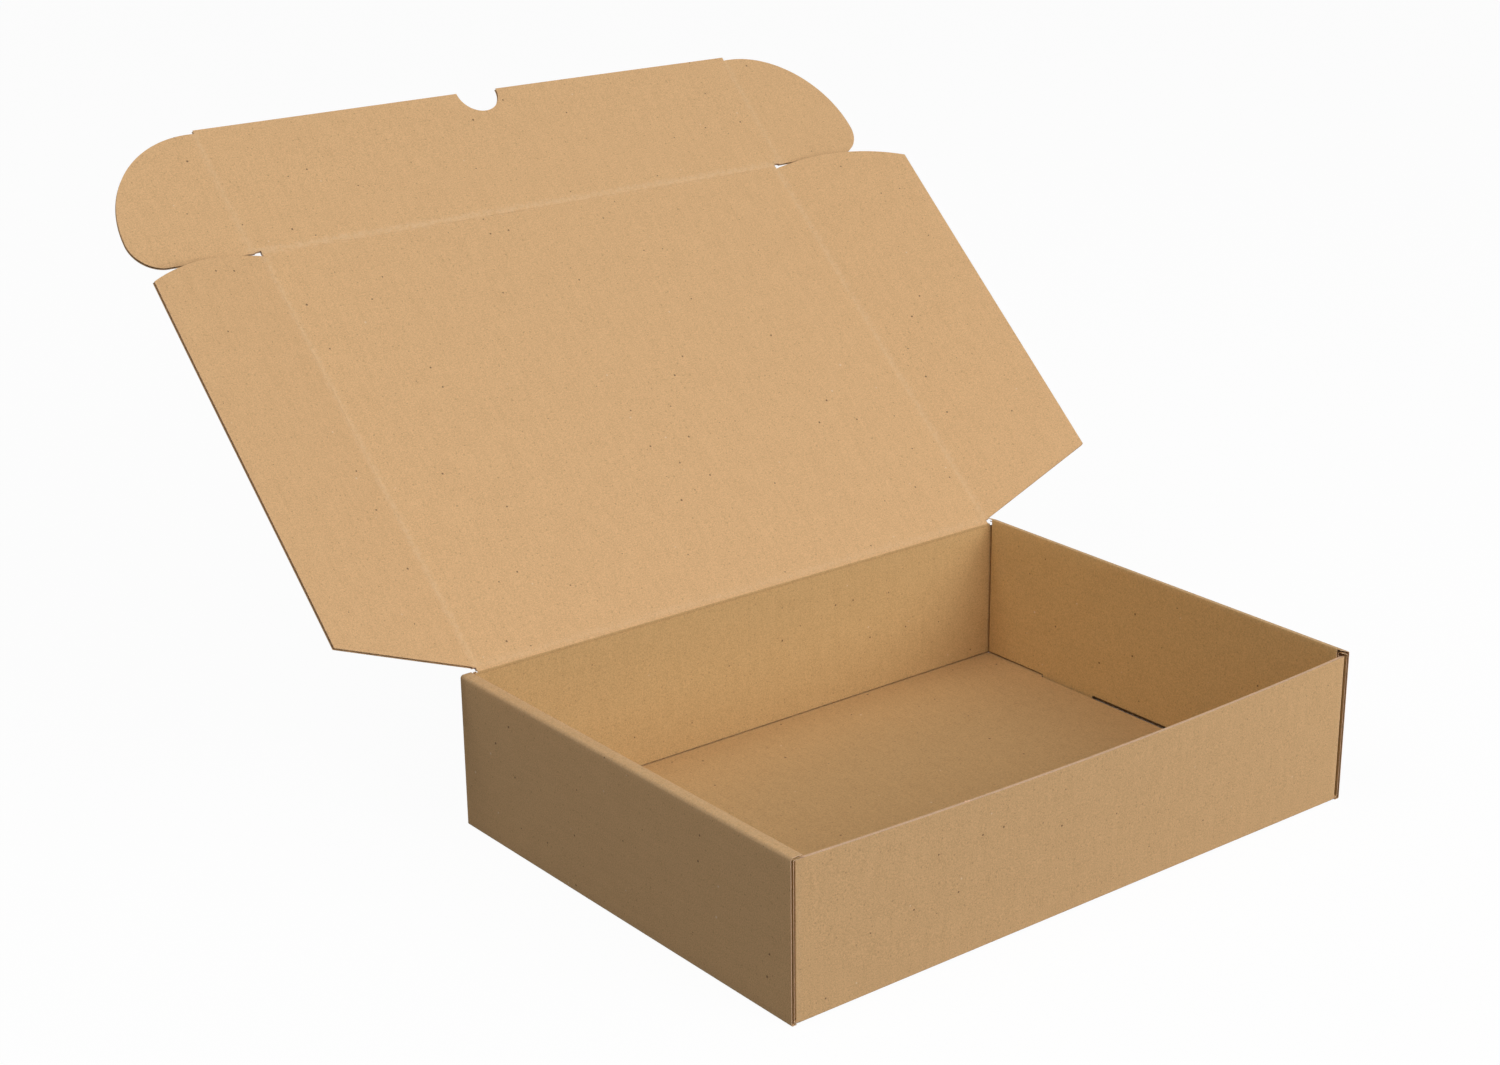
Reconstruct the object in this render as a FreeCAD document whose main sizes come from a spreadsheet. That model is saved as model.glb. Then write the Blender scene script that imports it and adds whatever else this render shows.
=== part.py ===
"""Open mailer box, die-cut from one sheet of thin corrugated board and folded up.

The tray is one folded sheet: floor, front and back walls, and side walls that roll over and come
down again inside, where their tabs lock through slots in the floor. The corner flaps of the front
and back walls are trapped between the two layers of each side wall. The lid swings on the top edge
of the back wall and carries two side flaps and a tuck flap, and the tuck flap carries two ears.

Frame: +X to the right along the front, +Y to the back, +Z up. The origin is the middle of the
tray's underside. Lengths are in millimetres and angles in degrees.
"""

import FreeCAD
import Part
import Sketcher
import math
import os

doc = FreeCAD.newDocument("MailerBox")

# Every driving dimension, with what it is.
SIZES = [
    ("length", 320, "tray, outside, along X"),
    ("depth", 230, "tray, outside, along Y"),
    ("height", 72, "top of the side walls"),
    ("board", 1.5, "thickness of the board"),
    ("fold_radius", 1.2, "outside of a fold"),
    ("leaf_play", 0.1, "between leaves that lie against each other"),
    ("ear_play", 0.05, "each side of an ear in its slot"),
    ("end_setback", 0.4, "front and back walls behind the cut edges of the side walls"),
    ("top_play", 0.2, "walls and inner leaves below what covers them"),
    ("inner_wall_lift", 0.4, "inner side wall over the floor"),
    ("inner_wall_play", 0.2, "each end of the inner side wall"),
    ("corner_flap_length", 62, "corner flaps, behind the front and back walls"),
    ("corner_flap_lift", 0.8, "corner flaps over the floor"),
    ("tab_length", 35, "locking tabs"),
    ("tab_inset", 37, "middle of the tray to the near end of a tab"),
    ("tab_lift", 0.2, "foot of a tab over the underside"),
    ("slot_play", 0.3, "around a tab in its slot"),
    ("hinge_rise", 0.2, "lid's hinge line over the side walls"),
    ("hinge_gap", 0.4, "lid's edge from its hinge line"),
    ("crease_gap", 0.1, "edge of a flap from its crease"),
    ("mitre", 1.4, "bevel on the outside of the lid's hinge"),
    ("lid_reach", 3, "tuck crease in front of the side walls' cut edges"),
    ("lid_play", 0.1, "side flap, folded in, to the inner side wall"),
    ("side_flap_width", 70.2, "side flaps, from the crease"),
    ("side_flap_root", 2.4, "side flap's lower edge at the crease, from the hinge line"),
    ("side_flap_rake", 17.6, "rise of the lower edge, from the crease to the outer corner"),
    ("side_flap_slit", 1.5, "side flap's upper edge below the tuck crease"),
    ("side_flap_level", 8, "level part of the upper edge"),
    ("side_flap_curve", 117, "radius of the rest of the upper edge"),
    ("tuck_height", 71.8, "tuck flap, from its crease"),
    ("notch_radius", 11.6, "thumb notch"),
    ("notch_setback", 0.5, "middle of the notch below the free edge"),
    ("ear_neck", 3.7, "level part of the ear's upper edge"),
    ("ear_foot", 0.7, "ear's lower edge from the tuck crease"),
    ("ear_toe_radius", 15.5, "ear's lower outer corner"),
    ("ear_crown_radius", 53.6, "ear's upper outer corner"),
    ("lid_open_angle", 137.8, "lid from closed"),
    ("side_flap_angle", 16.6, "side flaps folded in from the lid's plane"),
    ("tuck_angle", 2.4, "tuck flap folded in from the lid's plane"),
]

sheet = doc.addObject("Spreadsheet::Sheet", "Sizes")
for row, (alias, number, meaning) in enumerate(SIZES, start=1):
    sheet.set("A%d" % row, meaning)
    sheet.set("B%d" % row, str(number))
    sheet.setAlias("B%d" % row, alias)
doc.recompute()


class Size:
    """A length or angle that knows both its number and the expression it comes from."""

    def __init__(self, value, text):
        self.value = float(value)
        self.text = text

    def __add__(self, other):
        other = as_size(other)
        return Size(self.value + other.value, "(%s + %s)" % (self.text, other.text))

    def __sub__(self, other):
        other = as_size(other)
        return Size(self.value - other.value, "(%s - %s)" % (self.text, other.text))

    def __mul__(self, factor):
        return Size(self.value * factor, "(%s * %s)" % (self.text, factor))

    def __neg__(self):
        return Size(-self.value, "(-1 * %s)" % self.text)


def as_size(number):
    return number if isinstance(number, Size) else Size(number, "%s" % number)


def named(alias):
    return Size(sheet.get(alias), "Sizes.%s" % alias)


def bind(feature, prop, size):
    feature.setExpression(prop, size.text)


def new_body(label):
    body = doc.addObject("PartDesign::Body", label)
    body.Label = label
    return body


def new_sketch(body, name, plane, offset=None):
    """A sketch on one of the body's own origin planes, moved along its normal by offset."""
    sketch = body.newObject("Sketcher::SketchObject", name)
    support = [f for f in body.Origin.OriginFeatures if f.Role == plane][0]
    sketch.AttachmentSupport = [(support, "")]
    sketch.MapMode = "FlatFace"
    if offset is not None:
        bind(sketch, "AttachmentOffset.Base.z", offset)
    return sketch


def draw(sketch, corners):
    """Draws one closed outline. Each corner is (x, y), or (x, y, radius) where the edge that
    leaves it is an arc that bulges to the right of its travel, as a convex corner of an outline
    drawn counter-clockwise does."""
    count = len(corners)
    first = sketch.GeometryCount
    points = []
    for corner in corners:
        points.append(FreeCAD.Vector(as_size(corner[0]).value, as_size(corner[1]).value, 0))
    for i, corner in enumerate(corners):
        start = points[i]
        end = points[(i + 1) % count]
        if len(corner) == 3:
            radius = corner[2].value
            chord = end - start
            rise = math.sqrt(max(radius ** 2 - chord.Length ** 2 / 4, 0))
            left = FreeCAD.Vector(-chord.y, chord.x, 0).normalize()
            centre = (start + end) * 0.5 + left * rise
            circle = Part.Circle(centre, FreeCAD.Vector(0, 0, 1), radius)
            from_angle = math.atan2(start.y - centre.y, start.x - centre.x)
            to_angle = math.atan2(end.y - centre.y, end.x - centre.x)
            if to_angle < from_angle:
                to_angle += 2 * math.pi
            sketch.addGeometry(Part.ArcOfCircle(circle, from_angle, to_angle), False)
        else:
            sketch.addGeometry(Part.LineSegment(start, end), False)
    for i in range(count):
        joined = first + (i + 1) % count
        sketch.addConstraint(Sketcher.Constraint("Coincident", first + i, 2, joined, 1))
    for i, corner in enumerate(corners):
        for kind, size in (("DistanceX", corner[0]), ("DistanceY", corner[1])):
            size = as_size(size)
            if size.text == "0":
                number = sketch.addConstraint(Sketcher.Constraint(
                    "PointOnObject", first + i, 1, -2 if kind == "DistanceX" else -1))
                continue
            number = sketch.addConstraint(
                Sketcher.Constraint(kind, -1, 1, first + i, 1, size.value))
            sketch.setExpression("Constraints[%d]" % number, size.text)
        if len(corner) == 3:
            number = sketch.addConstraint(
                Sketcher.Constraint("Radius", first + i, corner[2].value))
            sketch.setExpression("Constraints[%d]" % number, corner[2].text)


def rectangle(sketch, x0, x1, y0, y1):
    draw(sketch, [(x0, y0), (x1, y0), (x1, y1), (x0, y1)])


def pad(body, name, sketch, length, reverse=False, both_ways=False):
    feature = body.newObject("PartDesign::Pad", name)
    feature.Profile = sketch
    feature.Reversed = reverse
    feature.Midplane = both_ways
    bind(feature, "Length", length)
    return feature


def dress(body, kind, name, prop, size, wanted):
    """A fillet or chamfer on the tip's edges whose two ends both satisfy wanted(point)."""
    doc.recompute()
    base = body.Tip
    picked = []
    for number, edge in enumerate(base.Shape.Edges, start=1):
        if all(wanted(vertex.Point) for vertex in edge.Vertexes) and len(edge.Vertexes) == 2:
            picked.append("Edge%d" % number)
    if not picked:
        raise ValueError("%s found no edge" % name)
    feature = body.newObject(kind, name)
    feature.Base = (base, picked)
    bind(feature, prop, size)
    return feature


board = named("board")
half_length = named("length") * 0.5
half_depth = named("depth") * 0.5

# Across the double side wall, from the outside in: outer leaf, ear slot, corner flap, inner leaf.
outer_leaf = half_length - board
ear_slot = outer_leaf - named("ear_play") * 2 - board
corner_leaf = ear_slot - board
inner_leaf_out = corner_leaf - named("leaf_play")
inner_leaf_in = inner_leaf_out - board

# The end walls, and what stands against them.
end_out = half_depth - named("end_setback")
end_in = end_out - board
inner_wall_end = end_in - named("inner_wall_play")
roll_under = named("height") - board
end_top = roll_under - named("top_play")
hinge_height = named("height") + named("hinge_rise")

# The lid, measured from its hinge line on the inside of the back wall.
side_crease = inner_leaf_in - named("lid_play") - board
tuck_crease = end_in + half_depth + named("lid_reach")
ear_crease = outer_leaf - named("ear_play") - board

# Tray: one folded sheet.
tray = new_body("tray")

sketch = new_sketch(tray, "floor_outline", "XY_Plane")
rectangle(sketch, -outer_leaf, outer_leaf, -end_out, end_out)
pad(tray, "floor_panel", sketch, board)

tab_near = named("tab_inset")
tab_far = tab_near + named("tab_length")
play = named("slot_play")
sketch = new_sketch(tray, "slot_outlines", "XY_Plane")
for low, high in ((tab_near, tab_far), (-tab_far, -tab_near)):
    rectangle(sketch, inner_leaf_in - play, inner_leaf_out + play, low - play, high + play)
slots = tray.newObject("PartDesign::Pocket", "tab_slots")
slots.Profile = sketch
slots.Reversed = True
bind(slots, "Length", board)

sketch = new_sketch(tray, "front_wall_plan", "XY_Plane")
rectangle(sketch, -corner_leaf, corner_leaf, -end_out, -end_in)
pad(tray, "front_wall", sketch, end_top)

sketch = new_sketch(tray, "back_wall_plan", "XY_Plane")
rectangle(sketch, -corner_leaf, corner_leaf, end_in, end_out)
pad(tray, "back_wall", sketch, end_top)

# The strip of back wall between the side walls, up to the lid's hinge line.
sketch = new_sketch(tray, "hinge_strip_plan", "XY_Plane")
strip_end = inner_leaf_in - named("lid_play")
rectangle(sketch, -strip_end, strip_end, end_in, end_out)
pad(tray, "hinge_strip", sketch, hinge_height)

# Corner flaps wrap around the ends of both walls and run back inside the side wall.
flap_foot = board + named("corner_flap_lift")
flap_tip = end_in - named("corner_flap_length")
sketch = new_sketch(tray, "corner_flap_plans", "XY_Plane", flap_foot)
draw(sketch, [
    (corner_leaf, -end_out, board),
    (ear_slot, -end_in),
    (ear_slot, -flap_tip),
    (corner_leaf, -flap_tip),
])
draw(sketch, [
    (corner_leaf, flap_tip),
    (ear_slot, flap_tip),
    (ear_slot, end_in, board),
    (corner_leaf, end_out),
])
corner_flaps = pad(tray, "corner_flaps", sketch, end_top - flap_foot)

# Outer leaf of the side wall and the strip that rolls over the top, as one section.
fold = named("fold_radius")
sketch = new_sketch(tray, "side_wall_section", "XZ_Plane")
draw(sketch, [
    (outer_leaf, 0),
    (half_length - fold, 0, fold),
    (half_length, fold),
    (half_length, named("height") - fold, fold),
    (half_length - fold, named("height")),
    (inner_leaf_in + fold, named("height"), fold),
    (inner_leaf_in, named("height") - fold),
    (inner_leaf_in, roll_under),
    (outer_leaf, roll_under),
])
side_wall = pad(tray, "side_wall", sketch, half_depth * 2, both_ways=True)

sketch = new_sketch(tray, "inner_wall_section", "XZ_Plane")
inner_foot = board + named("inner_wall_lift")
rectangle(sketch, inner_leaf_in, inner_leaf_out, inner_foot, roll_under)
inner_wall = pad(tray, "inner_wall", sketch, inner_wall_end * 2, both_ways=True)

sketch = new_sketch(tray, "tab_outlines", "XY_Plane", named("tab_lift"))
for low, high in ((tab_near, tab_far), (-tab_far, -tab_near)):
    rectangle(sketch, inner_leaf_in, inner_leaf_out, low, high)
tabs = pad(tray, "locking_tabs", sketch, inner_foot - named("tab_lift"))

mirror = tray.newObject("PartDesign::Mirrored", "left_side")
mirror.Originals = [slots, corner_flaps, side_wall, inner_wall, tabs]
mirror.MirrorPlane = ([f for f in tray.Origin.OriginFeatures if f.Role == "YZ_Plane"][0], [""])
tray.Tip = mirror


def on_bottom_fold(point):
    return abs(point.z) < 0.01 and abs(abs(point.y) - end_out.value) < 0.01


def on_hinge_edge(point):
    return abs(point.z - hinge_height.value) < 0.01 and abs(point.y - end_out.value) < 0.01


dress(tray, "PartDesign::Fillet", "bottom_folds", "Radius", fold, on_bottom_fold)
dress(tray, "PartDesign::Chamfer", "hinge_bevel", "Size", named("mitre"), on_hinge_edge)

# Lid panel: its inner face is the local plane z = 0, and local y runs up from the hinge line.
lid = new_body("lid_panel")
sketch = new_sketch(lid, "lid_outline", "XY_Plane")
hinge_gap = named("hinge_gap")
rectangle(sketch, -side_crease, side_crease, hinge_gap, tuck_crease)
pad(lid, "lid_board", sketch, board, reverse=True)


def on_lid_hinge(point):
    return abs(point.z + board.value) < 0.01 and abs(point.y - hinge_gap.value) < 0.01


dress(lid, "PartDesign::Chamfer", "lid_hinge_bevel", "Size", named("mitre"), on_lid_hinge)

# Side flaps: local x runs out from the crease on the inner face, and the left one is drawn mirrored.
crease_gap = named("crease_gap")
flap_top = tuck_crease - named("side_flap_slit")
flap_width = named("side_flap_width")
flap_level = named("side_flap_level")
curve = named("side_flap_curve")
run = "(%s - %s)" % (flap_width.text, flap_level.text)
drop = Size(
    curve.value - math.sqrt(curve.value ** 2 - (flap_width.value - flap_level.value) ** 2),
    "(%s - sqrt(%s ^ 2 - %s ^ 2))" % (curve.text, curve.text, run))
root = named("side_flap_root")
rake = named("side_flap_rake")


def side_flap(label, side):
    body = new_body(label)
    sketch = new_sketch(body, label + "_outline", "XY_Plane")
    corners = [
        (crease_gap, root),
        (flap_width, root + rake),
        (flap_width, flap_top - drop, curve),
        (flap_level, flap_top),
        (crease_gap, flap_top),
    ]
    if side < 0:
        corners = [
            (-crease_gap, root),
            (-crease_gap, flap_top),
            (-flap_level, flap_top, curve),
            (-flap_width, flap_top - drop),
            (-flap_width, root + rake),
        ]
    draw(sketch, corners)
    pad(body, label + "_board", sketch, board, reverse=True)
    return body


side_flap_left = side_flap("side_flap_left", -1)
side_flap_right = side_flap("side_flap_right", 1)

# Tuck flap: local y runs up from the tuck crease, and a thumb notch is cut in its free edge.
tuck = new_body("tuck_flap")
tuck_height = named("tuck_height")
sketch = new_sketch(tuck, "tuck_outline", "XY_Plane")
rectangle(sketch, -ear_crease, ear_crease, crease_gap, tuck_height)
pad(tuck, "tuck_board", sketch, board, reverse=True)

sketch = new_sketch(tuck, "notch_outline", "XY_Plane")
notch_centre = tuck_height - named("notch_setback")
sketch.addGeometry(Part.Circle(
    FreeCAD.Vector(0, notch_centre.value, 0),
    FreeCAD.Vector(0, 0, 1), named("notch_radius").value), False)
sketch.addConstraint(Sketcher.Constraint("PointOnObject", 0, 3, -2))
sketch.addConstraint(Sketcher.Constraint("DistanceY", -1, 1, 0, 3, notch_centre.value))
sketch.setExpression("Constraints[1]", notch_centre.text)
sketch.addConstraint(Sketcher.Constraint("Radius", 0, named("notch_radius").value))
sketch.setExpression("Constraints[2]", named("notch_radius").text)
notch = tuck.newObject("PartDesign::Pocket", "thumb_notch")
notch.Profile = sketch
bind(notch, "Length", board)

# Ears: local x runs out from the ear crease. Two tangent arcs make the rounded outer end.
ear_foot = named("ear_foot")
toe = named("ear_toe_radius")
crown = named("ear_crown_radius")
ear_neck = named("ear_neck")
ear_width = ear_neck + crown
ear_waist = ear_foot + toe
ear_top = ear_waist + crown


def ear(label, side):
    body = new_body(label)
    sketch = new_sketch(body, label + "_outline", "XY_Plane")
    corners = [
        (crease_gap, ear_foot),
        (ear_width - toe, ear_foot, toe),
        (ear_width, ear_waist, crown),
        (ear_neck, ear_top),
        (crease_gap, ear_top),
    ]
    if side < 0:
        corners = [
            (-crease_gap, ear_foot),
            (-crease_gap, ear_top),
            (-ear_neck, ear_top, crown),
            (-ear_width, ear_waist, toe),
            (toe - ear_width, ear_foot),
        ]
    draw(sketch, corners)
    pad(body, label + "_board", sketch, board, reverse=True)
    return body


ear_left = ear("tuck_ear_left", -1)
ear_right = ear("tuck_ear_right", 1)

# Everything on the lid is placed along the chain of creases from the hinge line outwards.
X = FreeCAD.Vector(1, 0, 0)
Y = FreeCAD.Vector(0, 1, 0)


def step(x, y, z, axis, degrees):
    return FreeCAD.Placement(FreeCAD.Vector(x, y, z), FreeCAD.Rotation(axis, degrees))


lid_place = step(0, end_in.value, hinge_height.value, X, 180 - named("lid_open_angle").value)
fold_in = named("side_flap_angle").value
tuck_place = lid_place * step(0, tuck_crease.value, 0, X, named("tuck_angle").value)
lid.Placement = lid_place
side_flap_left.Placement = lid_place * step(-side_crease.value, 0, 0, Y, fold_in)
side_flap_right.Placement = lid_place * step(side_crease.value, 0, 0, Y, -fold_in)
tuck.Placement = tuck_place
ear_left.Placement = tuck_place * step(-ear_crease.value, 0, 0, Y, 0)
ear_right.Placement = tuck_place * step(ear_crease.value, 0, 0, Y, 0)

doc.recompute()

bodies = [tray, lid, side_flap_left, side_flap_right, tuck, ear_left, ear_right]
for thing in doc.Objects:
    if "Invalid" in thing.State or "Error" in thing.State:
        raise ValueError("%s failed: %s" % (thing.Name, thing.State))
for body in bodies:
    if body.Shape.isNull() or not body.Shape.isValid() or len(body.Shape.Solids) != 1:
        raise ValueError("%s is not one sound solid" % body.Label)

os.makedirs("parts", exist_ok=True)
for body in bodies:
    body.Shape.exportStep("parts/%s.step" % body.Label)
    box = body.Shape.BoundBox
    print("%-16s %8.2f cm3  x %.1f..%.1f  y %.1f..%.1f  z %.1f..%.1f" % (
        body.Label, body.Shape.Volume / 1000, box.XMin, box.XMax, box.YMin, box.YMax,
        box.ZMin, box.ZMax))

for name, point, turn in (
        ("lid", lid_place, X),
        ("side_flap_left", side_flap_left.Placement, Y),
        ("side_flap_right", side_flap_right.Placement, Y),
        ("tuck_flap", tuck.Placement, X),
        ("tuck_ear_left", ear_left.Placement, Y),
        ("tuck_ear_right", ear_right.Placement, Y)):
    axis = point.Rotation.multVec(turn)
    print("%-16s pivot %.4f %.4f %.4f  axis %.5f %.5f %.5f" % (
        name, point.Base.x, point.Base.y, point.Base.z, axis.x, axis.y, axis.z))
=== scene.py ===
# %% [markdown]
# # An open cardboard mailer box
# The real box is one sheet of thin corrugated board, cut, creased and folded without glue. Its
# sides roll over into double walls that lock into the floor, and its lid carries two side flaps,
# a tuck flap with a thumb notch, and two rounded ears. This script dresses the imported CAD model:
# every board gets its two paper faces and the fluted paper between them, as real geometry.

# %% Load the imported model, which is the fixed frame of all that follows
import math

import bmesh
import bpy
import numpy as np
from mathutils import Matrix, Vector
from mathutils.geometry import delaunay_2d_cdt


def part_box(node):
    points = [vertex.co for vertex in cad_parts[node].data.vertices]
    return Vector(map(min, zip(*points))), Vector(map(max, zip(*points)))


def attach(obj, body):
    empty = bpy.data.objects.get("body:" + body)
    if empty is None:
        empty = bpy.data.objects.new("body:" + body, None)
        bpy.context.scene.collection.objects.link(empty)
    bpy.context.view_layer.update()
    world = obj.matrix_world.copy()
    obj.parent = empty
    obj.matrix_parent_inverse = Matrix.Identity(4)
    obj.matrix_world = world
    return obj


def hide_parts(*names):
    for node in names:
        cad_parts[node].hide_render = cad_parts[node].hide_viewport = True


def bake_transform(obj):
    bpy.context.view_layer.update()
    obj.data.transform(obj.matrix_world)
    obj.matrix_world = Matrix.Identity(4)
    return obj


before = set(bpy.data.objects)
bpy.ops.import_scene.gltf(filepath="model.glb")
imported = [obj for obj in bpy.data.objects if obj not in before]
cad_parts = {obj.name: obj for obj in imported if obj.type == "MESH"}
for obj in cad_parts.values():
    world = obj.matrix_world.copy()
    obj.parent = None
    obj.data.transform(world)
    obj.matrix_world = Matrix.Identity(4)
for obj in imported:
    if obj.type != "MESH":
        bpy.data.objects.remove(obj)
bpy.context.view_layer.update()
scene = bpy.context.scene

# %% [markdown]
# ## The camera
# The photograph's viewpoint was worked out from the box's own corners. The picture is 1500 by
# 1065, its lens is long, and it was cropped off its middle, which the shift gives back.

# %% Camera
eye = bpy.data.cameras.new("camera")
eye.sensor_width = 36
eye.lens = 63.684
eye.shift_x = -0.04481
eye.shift_y = 0.02832
camera = bpy.data.objects.new("camera", eye)
right = Vector((0.772741, -0.634718, -0.001906))
down = Vector((-0.224838, -0.270919, -0.935976))
ahead = Vector((0.593564, 0.723696, -0.352059))
turn = Matrix((right, -down, -ahead)).transposed().to_4x4()
camera.matrix_world = Matrix.Translation((-0.71794, -0.81131, 0.52097)) @ turn
scene.collection.objects.link(camera)
scene.camera = camera
scene.view_settings.view_transform = "Standard"
print("camera at", [round(x, 3) for x in camera.location])

# %% [markdown]
# ## The sizes of the board
# Fine corrugated board is about a millimetre and a half thick: two paper liners with a wavy
# paper, the fluting, between them. Lengths in this script are in millimetres, as in the
# workshop drawing, and they become metres only where a mesh is made.

# %% Sizes
MM = 0.001
BOARD = 1.5
LINER = 0.25
PITCH = 3.37  # from one flute to the next
WAVE = 0.4  # half the height of the fluting
FLUTE_PAPER = 0.18
CRUSH = 1.6  # half the width of a crease
BOTTOM_RADIUS = 0.6
CORE_RADIUS = 0.6  # the fluting's least radius at a fold
SCUFF_SHEEN_REACH = 10.0  # how far from a fold the paper still knows of it
GRID_STEP = 7.0  # between the points of a liner
LENGTH, DEPTH, HEIGHT = 320.0, 230.0, 72.0
SIDE_CREASE, TUCK_CREASE, EAR_CREASE = 152.2, 231.1, 156.95
HINGE_Y, HINGE_Z = 113.1, 72.2
LID_LEAN, TUCK_LEAN, FLAP_LEAN = 42.2, 2.4, 16.6  # in degrees, as the photographed box stands
low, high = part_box("tray")
print("tray", [round((high[i] - low[i]) / MM, 1) for i in range(3)], "mm, written as",
      [LENGTH, DEPTH, HEIGHT + 0.2])

# %% [markdown]
# ## Kraft paper
# Kraft paper is a mat of brown fibres. Up close it is mottled and a little streaky, with a few
# dark and pale specks of bark and recycled paper. Each of these effects is a node group, so
# that the liners, the fluting and the cut edges can share them with their own values.

# %% Helpers for node trees
def group(name, inputs, outputs):
    """An empty shader node group with float or vector inputs, as (name, type, value)."""
    tree = bpy.data.node_groups.new(name, "ShaderNodeTree")
    for label, kind, value in inputs:
        socket = tree.interface.new_socket(label, in_out="INPUT", socket_type="NodeSocket" + kind)
        if value is not None:
            socket.default_value = value
    for label, kind in outputs:
        tree.interface.new_socket(label, in_out="OUTPUT", socket_type="NodeSocket" + kind)
    return tree, tree.nodes.new("NodeGroupInput"), tree.nodes.new("NodeGroupOutput")


def maths(tree, operation, *terms, clamp=False):
    """One Math node; a term is a number or a socket."""
    node = tree.nodes.new("ShaderNodeMath")
    node.operation = operation
    node.use_clamp = clamp
    for slot, term in zip(node.inputs, terms):
        if isinstance(term, (int, float)):
            slot.default_value = term
        else:
            tree.links.new(term, slot)
    return node.outputs[0]


def noise(tree, vector, scale, detail=2.0, roughness=0.5):
    """One 3-D noise; scale is a number or a socket, in waves a metre."""
    node = tree.nodes.new("ShaderNodeTexNoise")
    tree.links.new(vector, node.inputs["Vector"])
    if isinstance(scale, (int, float)):
        node.inputs["Scale"].default_value = scale
    else:
        tree.links.new(scale, node.inputs["Scale"])
    node.inputs["Detail"].default_value = detail
    node.inputs["Roughness"].default_value = roughness
    return node.outputs["Fac"]


def centred(tree, value):
    """A value that runs from 0 to 1, moved to lie about zero."""
    return maths(tree, "SUBTRACT", value, 0.5)


# %% Fibres: fine mottling, soft clouds, and streaks along the sheet
FINE_CONTRAST, CLOUD_CONTRAST = 3.4, 0.4
STREAK_WAVES = (420.0, 45.0, 1.0)  # a metre, along and across the sheet
HUE_WAVES = 1100.0

tree, take, give = group(
    "paper_fibres",
    [("Place", "Vector", None), ("Sheet", "Vector", None), ("Fine", "Float", 1300.0),
     ("Cloud", "Float", 70.0), ("Streaks", "Float", 0.3)],
    [("Tone", "Float"), ("Hue", "Float"), ("Height", "Float")])
fine = noise(tree, take.outputs["Place"], take.outputs["Fine"], 3.0, 0.65)
cloud = noise(tree, take.outputs["Place"], take.outputs["Cloud"], 3.0, 0.55)
stretch = tree.nodes.new("ShaderNodeVectorMath")
stretch.operation = "MULTIPLY"
stretch.inputs[1].default_value = STREAK_WAVES
tree.links.new(take.outputs["Sheet"], stretch.inputs[0])
streak = noise(tree, stretch.outputs[0], 1.0, 2.0, 0.5)
tone = maths(tree, "MULTIPLY_ADD", centred(tree, fine), FINE_CONTRAST, 0.5)
tone = maths(tree, "MULTIPLY_ADD", centred(tree, cloud), CLOUD_CONTRAST, tone)
tone = maths(tree, "MULTIPLY_ADD", centred(tree, streak), take.outputs["Streaks"], tone)
tree.links.new(maths(tree, "ADD", tone, 0.0, clamp=True), give.inputs["Tone"])
tree.links.new(noise(tree, take.outputs["Sheet"], HUE_WAVES, 2.0, 0.6), give.inputs["Hue"])
tree.links.new(maths(tree, "MULTIPLY_ADD", cloud, 0.5, fine), give.inputs["Height"])
paper_fibres = tree
print("node group", tree.name, "has", len(tree.nodes), "nodes")

# %% Specks: scattered dots of many sizes, one cell of a Voronoi pattern on the sheet each
SMALLEST, SPREAD = 0.35, 0.8  # of the size given, by a random share
RAGGED_WAVES = 2600.0

tree, take, give = group(
    "specks",
    [("Sheet", "Vector", None), ("Scale", "Float", 180.0), ("Share", "Float", 0.1),
     ("Size", "Float", 0.1)],
    [("Mask", "Float")])
cells = tree.nodes.new("ShaderNodeTexVoronoi")
cells.voronoi_dimensions = "2D"
cells.feature = "F1"
tree.links.new(take.outputs["Sheet"], cells.inputs["Vector"])
tree.links.new(take.outputs["Scale"], cells.inputs["Scale"])
split = tree.nodes.new("ShaderNodeSeparateColor")
tree.links.new(cells.outputs["Color"], split.inputs[0])
chosen = maths(tree, "LESS_THAN", split.outputs[0], take.outputs["Share"])
share = maths(tree, "MULTIPLY_ADD", split.outputs[1], SPREAD, SMALLEST)
reach = maths(tree, "MULTIPLY", share, take.outputs["Size"])
wobble = maths(tree, "MULTIPLY", noise(tree, take.outputs["Sheet"], RAGGED_WAVES, 1.0), reach)
near = maths(tree, "SUBTRACT", maths(tree, "ADD", reach, wobble), cells.outputs["Distance"])
soft = maths(tree, "MULTIPLY", maths(tree, "DIVIDE", near, reach), 1.3, clamp=True)
tree.links.new(maths(tree, "MULTIPLY", soft, chosen), give.inputs["Mask"])
specks = tree
print("node group", tree.name, "has", len(tree.nodes), "nodes")

# %% Scuff and sheen of a fold: broken pale patches, strongest on the fold line, partly scuffed paper and partly painted highlight
PATCH_WAVES, PATCH_CONTRAST = 620.0, 3.0
# On the fold line the pale band is strongest, as scuffed paper and as painted highlight.
ON_THE_FOLD = 0.75  # how much is worn on the fold line itself
END_OF_SCUFF_SHEEN = 1.4  # in reaches

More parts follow.
